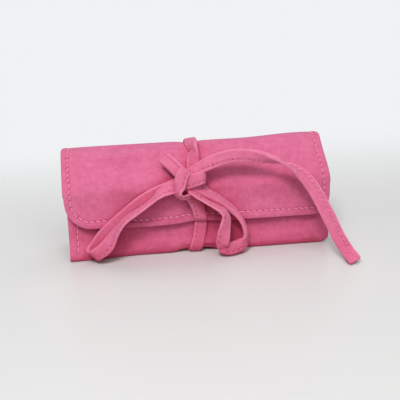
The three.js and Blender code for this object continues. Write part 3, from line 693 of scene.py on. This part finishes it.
# Zip. Two ribbed cloth tapes, each with a wound nylon coil along its inner edge, lean back from the pocket to
# the lining. A plated slider with a pull tab runs along the coils between two pressed end stops.
ZIP_Y, ZIP_Z, ZIP_TILT = 9.46, 41.22, math.radians(25)
TAPE_HALF, TAPE_NEAR, TAPE_FAR = 80.0, 2.7, 7.5
COIL_HALF, COIL_TURNS = 75.5, 117
zip_out = np.array([0, -math.cos(ZIP_TILT), math.sin(ZIP_TILT)])
zip_up = np.array([0, math.sin(ZIP_TILT), math.cos(ZIP_TILT)])
zip_middle = np.array([0, ZIP_Y, ZIP_Z])
tape_cloth, tape_shader, tape_nodes = new_material("zip_tape", Roughness=0.85, Specular_IOR_Level=0.2)
tape_place = tape_nodes.make("ShaderNodeTexCoord", {}, {}, out=3)
tape_ribs = weave(tape_nodes, tape_place, 420.0)
tape_ribs.between((0.40, 0.12, 0.20, 1), (0.62, 0.25, 0.35, 1)).into(tape_shader, "Base Color")
tape_nodes.make("ShaderNodeBump", {}, {"Strength": 0.5, "Distance": 0.0003, "Height": tape_ribs}).into(
    tape_shader, "Normal")
nylon = speckled("zip_coil", 300.0, (0.36, 0.09, 0.17, 1), (0.48, 0.14, 0.24, 1), Roughness=0.4)
for side, sign in (("upper", 1), ("lower", -1)):
    tape_x, tape_w = np.meshgrid(np.linspace(-TAPE_HALF, TAPE_HALF, 60), np.linspace(TAPE_NEAR, TAPE_FAR, 8))
    tape = zip_middle + tape_x[..., None] * [1, 0, 0] + sign * tape_w[..., None] * zip_up
    made = soft_sheet(f"zip_tape_{side}_cloth", tape + zip_out * 0.3, tape - zip_out * 0.3, tape_cloth)
    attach(made, "back_section")
    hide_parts(f"zip_tape_{side}")
    # The strip is 160 by 4.8 mm. A flat side may not be under 10 mm, so the area gives its true size.
    turns = np.linspace(0, 2 * math.pi * COIL_TURNS, COIL_TURNS * 10)
    wind = (zip_middle + np.linspace(-COIL_HALF, COIL_HALF, len(turns))[:, None] * [1, 0, 0]
            + (sign * 1.5 + 0.62 * np.cos(turns))[:, None] * zip_up
            + (0.55 * np.sin(turns))[:, None] * zip_out)
    curve = bpy.data.curves.new(f"zip_coil_{side}_wound", "CURVE")
    curve.dimensions = "3D"
    curve.bevel_depth = 0.24 * MM
    curve.bevel_resolution = 1
    line = curve.splines.new("POLY")
    line.points.add(len(wind) - 1)
    line.points.foreach_set("co", np.concatenate([wind * MM, np.ones((len(wind), 1))], axis=1).ravel())
    curve.materials.append(nylon)
    made = bpy.data.objects.new(f"zip_coil_{side}_wound", curve)
    bpy.context.scene.collection.objects.link(made)
    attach(made, "back_section")
    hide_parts(f"zip_coil_{side}")

metal, metal_shader, metal_nodes = new_material("zip_metal", Metallic=1.0)
metal_place = metal_nodes.make("ShaderNodeTexCoord", {}, {}, out=3)
metal_wear = metal_nodes.make(
    "ShaderNodeTexNoise", {}, {"Vector": metal_place, "Scale": 500.0, "Detail": 4.0})
metal_wear.between((0.62, 0.61, 0.60, 1), (0.72, 0.72, 0.73, 1)).into(metal_shader, "Base Color")
(metal_wear * 0.2 + 0.18).into(metal_shader, "Roughness")
for node in ("zip_slider", "zip_pull", "zip_stop_left", "zip_stop_right"):
    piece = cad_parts[node]
    piece.data.materials.clear()
    piece.data.materials.append(metal)
    edge = piece.modifiers.new("soft_edges", "BEVEL")
    edge.width = 0.15 * MM
    edge.segments = 2

# Strap round the roll. A folded strip of the same suede, sewn shut along one edge, goes down the front, under
# the base, up the back and over the top, where it leans onto its edge on its way to the knot.
STRAP_WIDTH, STRAP_THICK = 10.0, 2.1
STRAP_SEAM = 2.5
strap_suede = suede_material("strap_suede", (0.54, 0.100, 0.205, 1), (0.72, 0.192, 0.322, 1))
strap_thread = speckled(
    "strap_thread", 1400.0, (0.55, 0.12, 0.22, 1), (0.74, 0.22, 0.35, 1), Roughness=0.8,
    Specular_IOR_Level=0.15)
FINE_STITCH = dict(pitch=4.0, length=2.6, radius=0.36, proud=0.05, hole=0.55, slant=0.15, yarn=strap_thread)
BOLD_STITCH = dict(pitch=4.0, length=3.1, radius=0.5, proud=0.3, hole=0.4, slant=0.3, yarn=thread)
SEWN_NARROWER = 0.88
strap_across = np.array([-5.0, -4.7, -4.1, -3.2, -2.1, -1.0, 0.0, 0.8, 1.5, 2.0, 2.5, 3.0, 3.6, 4.3, 5.0])
strap_full = np.array([0.95, 1.28, 1.42, 1.36, 1.2, 1.1, 1.06, 1.02, 0.95, 0.8, 0.66, 0.76, 0.86, 0.82, 0.62])


def strap_line(stops, spacing=0.9):
    """Centre, face direction and across direction at even steps along stops of (x, y, z, face)."""
    points = np.array([stop[:3] for stop in stops], float)
    looks = unit(np.array([stop[3] for stop in stops], float))
    knots = np.concatenate([[0], np.cumsum(np.linalg.norm(np.diff(points, axis=0), axis=1))])
    slopes = np.gradient(points, knots, axis=0)
    fine = np.linspace(0, knots[-1], 600)
    k = np.clip(np.searchsorted(knots, fine, side="right") - 1, 0, len(knots) - 2)
    span = knots[k + 1] - knots[k]
    t = ((fine - knots[k]) / span)[:, None]
    curve = ((1 + 2 * t) * (1 - t) ** 2 * points[k] + t * (1 - t) ** 2 * span[:, None] * slopes[k]
             + t * t * (3 - 2 * t) * points[k + 1] + t * t * (t - 1) * span[:, None] * slopes[k + 1])
    face = unit(looks[k] * (1 - ease(t)) + looks[k + 1] * ease(t))
    length = np.concatenate([[0], np.cumsum(np.linalg.norm(np.diff(curve, axis=0), axis=1))])
    even = np.linspace(0, length[-1], max(int(length[-1] / spacing), 8))
    pick = lambda values: np.stack([np.interp(even, length, values[:, i]) for i in range(3)], axis=-1)
    centre, face = pick(curve), pick(face)
    run = unit(np.gradient(centre, axis=0))
    face = unit(face - run * np.sum(face * run, axis=1, keepdims=True))
    across = np.cross(run, face)
    return {"centre": centre, "face": face, "across": across, "along": even, "length": length[-1]}


def strap_point(line, along, across, lift, cup):
    pick = lambda key: np.stack([np.interp(along, line["along"], line[key][:, i]) for i in range(3)], axis=-1)
    bowed = cup * (1 - (across / (STRAP_WIDTH / 2)) ** 2)
    return pick("centre") + pick("across") * across[..., None] + pick("face") * (lift + bowed)[..., None]


def strap(name, stops, seam=1, cup=0.4, width=1.0, faces=(1, -1), bold_back=False):
    """A strap along stops with its stitches, which lie near the side that seam says.

    Its edges are worn paler. bold_back puts pale, proud stitches on its back face.
    """
    line = strap_line(stops)
    along, across = np.meshgrid(line["along"], SEWN_NARROWER * strap_across * seam * width, indexing="ij")
    puff = lambda u: STRAP_THICK / 2 * (1 + 0.10 * np.sin(u / 5.3 + 1.1) + 0.07 * np.sin(u / 2.6 + 0.4))
    bend = lambda u: 0.12 * np.sin(u / 7.1)
    thick = strap_full[None] * puff(along)
    made = soft_sheet(
        name, strap_point(line, along, across, thick + bend(along), cup),
        strap_point(line, along, across, -thick + bend(along), cup), strap_suede)
    worn = np.ones(len(made.data.vertices))
    to_rim = np.abs(across).ravel() / (SEWN_NARROWER * STRAP_WIDTH / 2 * width)
    worn[:2 * along.size] = np.tile(ease((to_rim - 0.72) / 0.28), 2)
    made.data.attributes.new("worn", "FLOAT", "POINT").data.foreach_set("value", worn)
    sewn = []
    for face in faces:
        place = lambda u, v, lift, f=face: strap_point(
            line, np.asarray(u, float), np.asarray(v, float),
            f * (0.68 * puff(u) + np.asarray(lift)) + bend(u), cup)
        edge = SEWN_NARROWER * STRAP_SEAM * seam * width
        label = f"{name}_stitches_{'front' if face > 0 else 'back'}"
        kind = BOLD_STITCH if bold_back and face < 0 else FINE_STITCH
        sewn.append(stitches(label, place, [(2, edge), (line["length"] - 1.5, edge)], **kind))
    return made, sewn, line


def strand_stops(profile, runs, out, across, lift):
    """Stops for a strap that lies a little off a profile. across gives its x, and lift raises it."""
    stops = []
    for s in runs:
        look = profile.normal(np.array(float(s)))
        y, z = profile.at(np.array(float(s))) + look * out
        z = z + lift(z)
        stops.append((across(y, z), y, z, (0, look[0], look[1])))
    return stops


BASE_X, BACK_X = -5.2, -1.6


def lower_x(y, z):
    """The lower strand leans left on its way down, and swings back under the base to meet the back strand."""
    if y < -14:
        return 0.9 - 6.1 * (1 - min(z, 24) / 24) ** 1.6
    return BASE_X + (BACK_X - BASE_X) * (y + 14) / 34


lower_runs = [22.5, 25, 28, 32, 36, 40, 44, 47, 49, 51, 54, 58, 64, 70, 76, 81, 84, 87, 90]
lower_stops = strand_stops(
    front_base, lower_runs, 1.0, lower_x, lambda z: float(ride_over(np.array(STRAP_X), np.array(z))))
lower_strap, lower_sewn, _ = strap("strap_front_base", lower_stops, seam=1, faces=(1,))
for piece in [lower_strap, *lower_sewn]:
    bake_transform(piece)
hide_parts("tie_lower_strand")

back_runs = [0.5, 10, 20, 30, 40, 50, 58, 63, 66, 69]
rise_stops = strand_stops(back_flap, back_runs, 1.3, lambda y, z: BACK_X, lambda z: 0) + [
    (BACK_X, 14.5, 79.6, (0.0, 0.1, 1)), (-2.1, 8.8, 79.4, (-0.3, -0.2, 1)),
    (-1.9, 2.2, 78.4, (-0.8, -0.4, 0.7)), (-1.6, -2.3, 76.6, (-1.0, -0.4, 0.35)),
    (-2.4, -6.0, 72.8, (-0.5, -0.6, 0.7)), (-2.8, -10.0, 68.3, (0.1, -0.7, 0.7)),
    (-3.6, -14.2, 64.2, (0.1, -0.75, 0.65)), (-5.0, -20.0, 60.5, (0, -0.9, 0.4)),
    (-6.5, -25.0, 58.0, (0, -0.9, 0.3)),
]
rise_strap, rise_sewn, _ = strap("strap_back_top", rise_stops, seam=1, cup=0.3)
for piece in [rise_strap, *rise_sewn]:
    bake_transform(piece)
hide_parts("tie_back_strand", "tie_top_strand")

upper_stops = [
    (-11.5, -26.0, 54.0, (0.5, -0.9, 0.1)), (-9.5, -24.6, 50.3, (0.6, -0.8, 0.1)),
    (-6.3, -23.4, 46.1, (0.5, -0.85, 0.05)), (-3.3, -22.8, 41.0, (0.3, -0.95, 0)),
    (-1.1, -22.6, 35.3, (0.1, -1, 0)), (0.1, -22.6, 30.4, (0, -1, 0)), (0.5, -22.3, 29.0, (0, -1, -0.1)),
    (0.5, -21.8, 27.8, (0, -0.85, -0.5)), (0.5, -20.9, 27.0, (0, -0.6, -0.8)),
]
upper_strap, upper_sewn, _ = strap("strap_upper", upper_stops, seam=1, faces=(1,))
for piece in [upper_strap, *upper_sewn]:
    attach(piece, "flap")
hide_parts("tie_upper_strand")

# Knot. One end of the strap is wound down over the crossing and curls under itself, and a flat turn of the
# other end lies beside it. Inside, the crossing strands fill it out.
KNOT_X, KNOT_Y, KNOT_Z = -8.0, -27.4, 56.0
CORE_SIDES, CORE_RINGS = 23, 14
wrap_stops = [
    (-9.0, -25.5, 64.4, (0.03, -0.02, 1.00)), (-10.7, -28.5, 66.7, (-0.04, -0.59, 0.80)),
    (-13.1, -31.0, 65.5, (0.03, -0.80, 0.60)), (-14.6, -32.3, 61.8, (-0.16, -0.95, 0.25)),
    (-15.7, -32.6, 57.9, (-0.36, -0.92, 0.16)), (-17.1, -32.6, 54.8, (-0.75, -0.63, 0.19)),
    (-17.4, -32.2, 52.2, (-0.85, -0.40, -0.35)), (-15.4, -31.4, 49.3, (-0.41, -0.43, -0.80)),
    (-11.9, -30.0, 48.2, (0.17, -0.51, -0.85)), (-7.9, -27.6, 48.5, (0.43, -0.62, -0.66)),
]
wrap, wrap_sewn, _ = strap("knot_wrap", wrap_stops, seam=-1, cup=0.6, width=0.95, faces=(1,))
band_stops = [
    (-14.3, -28.2, 56.7, (-0.48, -0.87, 0.13)), (-10.1, -30.2, 58.8, (-0.40, -0.90, 0.18)),
    (-5.8, -31.2, 60.5, (-0.22, -0.94, 0.25)), (-1.8, -31.4, 61.6, (-0.02, -0.95, 0.31)),
    (0.9, -30.8, 62.2, (0.13, -0.95, 0.27)), (2.5, -29.0, 62.0, (0.91, -0.39, 0.16)),
    (2.2, -26.6, 61.8, (0.95, 0.32, 0.05)),
]
band, band_sewn, _ = strap("knot_band", band_stops, seam=1, cup=0.5, faces=(1,))
turn_u, turn_v = np.meshgrid(
    np.linspace(0, 2 * math.pi, CORE_SIDES + 1), np.linspace(0.06, math.pi - 0.06, CORE_RINGS))
core = np.stack([
    KNOT_X + 9.0 * np.sin(turn_v) * np.cos(turn_u), KNOT_Y + 3.4 * np.sin(turn_v) * np.sin(turn_u),
    KNOT_Z + 6.6 * np.cos(turn_v)], axis=-1)
core_points = np.concatenate([core[:, :-1].reshape(-1, 3), [core[0].mean(0)], [core[-1].mean(0)]])
ring = lambda r: np.arange(CORE_SIDES) + r * CORE_SIDES
core_top = CORE_RINGS * CORE_SIDES
core_faces = [q for r in range(CORE_RINGS - 1) for q in np.stack(
    [ring(r), np.roll(ring(r), -1), np.roll(ring(r + 1), -1), ring(r + 1)], axis=-1)]
for end, pole in ((ring(0), core_top), (ring(CORE_RINGS - 1), core_top + 1)):
    core_faces += [[a, b, pole] for a, b in zip(end, np.roll(end, -1))]
knot_core = add_mesh("knot_core", core_points, core_faces, strap_suede)
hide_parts("tie_knot")
for piece in [wrap, *wrap_sewn, band, *band_sewn, knot_core]:
    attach(piece, "flap")

# Bow loops and tails. The strap's free lengths: two loops that hang to the table on either side, a long tail
# that arches to the right down to the table, and a short tail that points up to the left.
loop_left = [
    (-12.6, -26.2, 58.4, (-0.21, -0.95, 0.24)), (-18.1, -25.6, 56.0, (-0.19, -0.95, 0.25)),
    (-23.7, -25.2, 53.8, (-0.15, -0.95, 0.27)), (-31.1, -25.0, 51.0, (-0.13, -0.95, 0.27)),
    (-38.6, -25.0, 47.4, (-0.14, -0.96, 0.26)), (-46.2, -25.0, 42.7, (-0.16, -0.96, 0.23)),
    (-53.6, -25.0, 37.0, (-0.16, -0.96, 0.22)), (-61.1, -25.2, 31.1, (-0.16, -0.96, 0.22)),
    (-68.5, -25.4, 25.0, (-0.17, -0.96, 0.20)), (-73.3, -25.4, 20.1, (-0.18, -0.97, 0.16)),
    (-76.7, -25.4, 15.7, (0.06, -0.92, 0.40)), (-79.6, -26.0, 12.2, (0.36, -0.75, 0.56)),
    (-81.5, -27.2, 9.6, (0.62, -0.40, 0.67)), (-81.9, -28.8, 8.0, (0.78, 0.10, 0.61)),
    (-80.0, -30.6, 8.0, (0.69, 0.64, 0.33)), (-76.7, -32.0, 10.0, (0.32, 0.94, -0.11)),
    (-72.9, -32.6, 12.9, (0.27, 0.94, -0.19)), (-69.5, -32.8, 16.3, (0.39, 0.87, -0.31)),
    (-66.8, -32.8, 20.2, (0.62, 0.66, -0.42)), (-63.9, -32.8, 24.5, (0.74, 0.39, -0.54)),
    (-60.6, -32.8, 28.6, (0.75, 0.19, -0.63)), (-56.7, -32.8, 32.9, (0.66, 0.08, -0.74)),
    (-51.6, -32.6, 36.6, (0.55, 0.03, -0.83)), (-45.3, -32.2, 40.5, (0.53, -0.02, -0.85)),
    (-39.3, -31.8, 44.4, (0.57, -0.05, -0.82)), (-33.9, -31.2, 48.4, (0.61, 0.03, -0.79)),
    (-29.5, -30.6, 52.0, (0.49, 0.36, -0.79)), (-24.8, -30.0, 54.6, (0.17, 0.74, -0.65)),
    (-19.6, -29.4, 56.0, (-0.04, 0.89, -0.45)), (-15.1, -28.6, 56.4, (-0.14, 0.94, -0.32)),
]
loop_right = [
    (-3.2, -27.0, 55.0, (0.35, -0.86, 0.36)), (1.9, -26.6, 51.0, (0.46, -0.70, 0.55)),
    (7.9, -26.0, 47.0, (0.50, -0.48, 0.72)), (16.4, -25.8, 41.4, (0.55, -0.37, 0.75)),
    (23.1, -25.8, 35.8, (0.65, -0.32, 0.69)), (28.1, -26.0, 30.2, (0.79, -0.25, 0.56)),
    (31.3, -26.2, 24.2, (0.89, -0.23, 0.38)), (33.1, -26.6, 18.2, (0.94, -0.27, 0.22)),
    (33.5, -27.4, 13.2, (0.90, -0.43, 0.01)), (32.2, -28.8, 9.5, (0.66, -0.75, 0.00)),
    (28.6, -30.6, 7.4, (0.19, -0.97, 0.14)), (24.2, -32.2, 6.8, (-0.12, -0.97, 0.22)),
    (19.4, -33.8, 6.8, (-0.26, -0.93, 0.27)), (15.6, -35.0, 8.4, (-0.43, -0.83, 0.35)),
    (14.2, -35.8, 11.6, (-0.43, -0.81, 0.40)), (14.8, -36.0, 15.5, (-0.29, -0.96, 0.05)),
    (15.5, -35.8, 19.7, (0.07, -1.00, 0.07)), (16.4, -35.2, 25.3, (0.55, -0.84, 0.01)),
    (17.1, -34.6, 30.9, (0.76, -0.64, 0.09)), (16.2, -34.2, 34.8, (0.77, -0.37, 0.52)),
    (11.9, -33.4, 38.7, (0.60, -0.13, 0.79)), (6.6, -32.4, 42.0, (0.54, -0.05, 0.84)),
    (1.6, -31.0, 45.3, (0.57, -0.10, 0.82)), (-3.1, -29.6, 49.4, (0.54, -0.31, 0.78)),
    (-7.1, -28.2, 53.3, (0.42, -0.57, 0.70)),
]
tail_long = [
    (-13.4, -27.6, 59.6, (-0.31, -0.80, 0.52)), (-8.5, -27.2, 63.1, (-0.43, -0.62, 0.66)),
    (-3.6, -27.0, 66.7, (-0.43, -0.54, 0.72)), (0.1, -26.8, 68.7, (-0.30, -0.68, 0.67)),
    (6.8, -26.8, 71.6, (-0.19, -0.87, 0.45)), (14.9, -27.0, 74.4, (-0.11, -0.96, 0.27)),
    (24.5, -27.6, 76.2, (-0.11, -0.96, 0.26)), (33.9, -28.6, 76.2, (-0.11, -0.98, 0.17)),
    (43.9, -30.0, 74.6, (-0.20, -0.95, -0.23)), (52.5, -31.6, 72.6, (-0.32, -0.65, -0.69)),
    (60.3, -33.2, 70.1, (-0.39, -0.20, -0.90)), (67.7, -35.2, 66.7, (-0.42, 0.43, -0.80)),
    (75.0, -37.4, 60.2, (-0.18, 0.88, -0.45)), (81.2, -40.0, 52.0, (0.07, 0.96, -0.27)),
    (86.8, -43.6, 41.3, (0.18, 0.96, -0.22)), (92.3, -47.4, 29.4, (0.19, 0.96, -0.23)),
    (98.5, -52.0, 15.5, (0.18, 0.94, -0.30)), (104.0, -57.0, 5.9, (0.26, 0.72, -0.64)),
    (106.0, -65.7, 3.2, (0.35, 0.35, -0.87)),
]
tail_short = [
    (-10.5, -28.0, 61.8, (-0.12, -0.95, 0.30)), (-14.2, -26.5, 65.1, (-0.28, -0.84, 0.46)),
    (-18.3, -21.5, 69.0, (-0.32, -0.72, 0.61)), (-21.8, -17.4, 71.8, (-0.31, -0.71, 0.64)),
    (-24.5, -14.5, 73.7, (-0.29, -0.71, 0.64)),
]
bow = {}
for name, stops, seam, cup in (
        ("bow_loop_left", loop_left, -1, -0.4), ("bow_loop_right", loop_right, -1, 0.6),
        ("tail_long", tail_long, 1, 0.4), ("tail_short", tail_short, 1, 0.3)):
    made, sewn, line = strap(name, stops, seam=seam, cup=cup, bold_back=name == "tail_long")
    bow[name] = (made, sewn, line)
    for piece in [made, *sewn]:
        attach(piece, "flap")
for name, node, far_end in (
        ("bow_loop_left", "tie_loop_left", "object"), ("bow_loop_right", "tie_loop_right", "object"),
        ("tail_long", "tie_tail_long", "bare")):
    made, sewn, line = bow[name]
    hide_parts(node)
    extra = [*sewn, bow["tail_short"][0], *bow["tail_short"][1]] if name == "tail_long" else sewn
    tuple(line["centre"][0] * MM)
    line["length"] * MM
    (line["centre"] * MM).tolist()
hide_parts("tie_tail_short")

# Floor, light and camera. A pale matt table that fades into a white room, a small key light with a large soft
# fill and a top light, and a camera a little above the roll and to its left.
floor_points = [(-900, -700, 0), (900, -700, 0), (900, 420, 0), (-900, 420, 0)]
table, table_shader, table_nodes = new_material("table", Roughness=0.38, Specular_IOR_Level=0.35)
table_place = table_nodes.make("ShaderNodeTexCoord", {}, {}, out=3)
grain = table_nodes.make("ShaderNodeTexNoise", {}, {"Vector": table_place, "Scale": 6.0, "Detail": 4.0})
grain.between((0.640, 0.637, 0.631, 1), (0.680, 0.677, 0.671, 1)).into(table_shader, "Base Color")
table_far = table_nodes.make("ShaderNodeSeparateXYZ", {}, {0: table_place}, out=1)
table_back = table_nodes.make(
    "ShaderNodeMapRange", {"interpolation_type": "SMOOTHSTEP"}, {0: table_far, 1: 0.02, 2: 0.34})
table_out = table_nodes.make("ShaderNodeVectorMath", {"operation": "LENGTH"}, {0: table_place}, out=1)
table_rim = table_nodes.make(
    "ShaderNodeMapRange", {"interpolation_type": "SMOOTHSTEP"}, {0: table_out, 1: 0.45, 2: 0.68})
table_fade = table_nodes.make("ShaderNodeMath", {"operation": "MAXIMUM"}, {0: table_back, 1: table_rim})
clear = table_nodes.make("ShaderNodeBsdfTransparent", {}, {})
matt = Sock(table.node_tree, table_shader.outputs[0])
table_mix = table_nodes.make("ShaderNodeMixShader", {}, {0: table_fade, 1: matt, 2: clear})
table_mix.into(table.node_tree.nodes["Material Output"], "Surface")
floor = add_mesh("floor", floor_points, [(0, 1, 2, 3)], table)
floor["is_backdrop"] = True

LIT_SPOT = Vector((0, 0, 0.03))
for name, spot, size, power in (
        ("key", (-0.34, -0.99, 1.15), 0.30, 12.0), ("fill", (-0.03, -1.04, 1.12), 1.4, 14.0),
        ("top", (0.12, 0.45, 1.35), 1.1, 7.0)):
    light = bpy.data.lights.new(name, "AREA")
    light.size = size
    light.energy = power
    holder = bpy.data.objects.new(name, light)
    holder.location = spot
    holder.rotation_mode = "QUATERNION"
    holder.rotation_quaternion = (LIT_SPOT - Vector(spot)).to_track_quat("-Z", "Y")
    bpy.context.scene.collection.objects.link(holder)

world = bpy.data.worlds.new("room")
bpy.context.scene.world = world
world.use_nodes = True
room = Sock(world.node_tree)
ray = lambda kind: room.make("ShaderNodeLightPath", {}, {}, out=kind)
seen = ray("Is Camera Ray") + ray("Is Glossy Ray") + ray("Is Transmission Ray")
backdrop = world.node_tree.nodes["Background"]
seen.between((0.075, 0.075, 0.078, 1), (0.87, 0.885, 0.895, 1)).into(backdrop, "Color")

YAW, ELEVATION, ROLL, DISTANCE = 6.888, 17.822, -1.672, 624.99
AIM_HEIGHT, SENSOR = 38.0, 36.0
PICTURE_PIXELS, PIXELS_PER_MM, SHIFT_PIXELS = 400, 1.2979, (3.753, -3.327)
yaw, elevation, roll = (math.radians(a) for a in (YAW, ELEVATION, ROLL))
level_back = Vector((-math.sin(yaw), -math.cos(yaw), 0))
back = level_back * math.cos(elevation) + Vector((0, 0, math.sin(elevation)))
level = Vector((math.cos(yaw), -math.sin(yaw), 0))
upright = back.cross(level)
right = level * math.cos(roll) + upright * math.sin(roll)
up = upright * math.cos(roll) - level * math.sin(roll)
lens = bpy.data.cameras.new("camera")
lens.sensor_width = SENSOR
lens.lens = SENSOR * PIXELS_PER_MM * DISTANCE / PICTURE_PIXELS
lens.shift_x, lens.shift_y = (pixels / PICTURE_PIXELS for pixels in SHIFT_PIXELS)
lens.clip_start, lens.clip_end = 0.01, 20
camera = bpy.data.objects.new("camera", lens)
turned = Matrix((right, up, back)).transposed().to_4x4()
camera.matrix_world = Matrix.Translation((Vector((0, 0, AIM_HEIGHT)) + back * DISTANCE) * MM) @ turned
bpy.context.scene.collection.objects.link(camera)
bpy.context.scene.camera = camera
bpy.context.scene.view_settings.view_transform = "Standard"

low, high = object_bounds()
{"cad": [list(cad_low), list(cad_high)], "visual": [list(low), list(high)]}
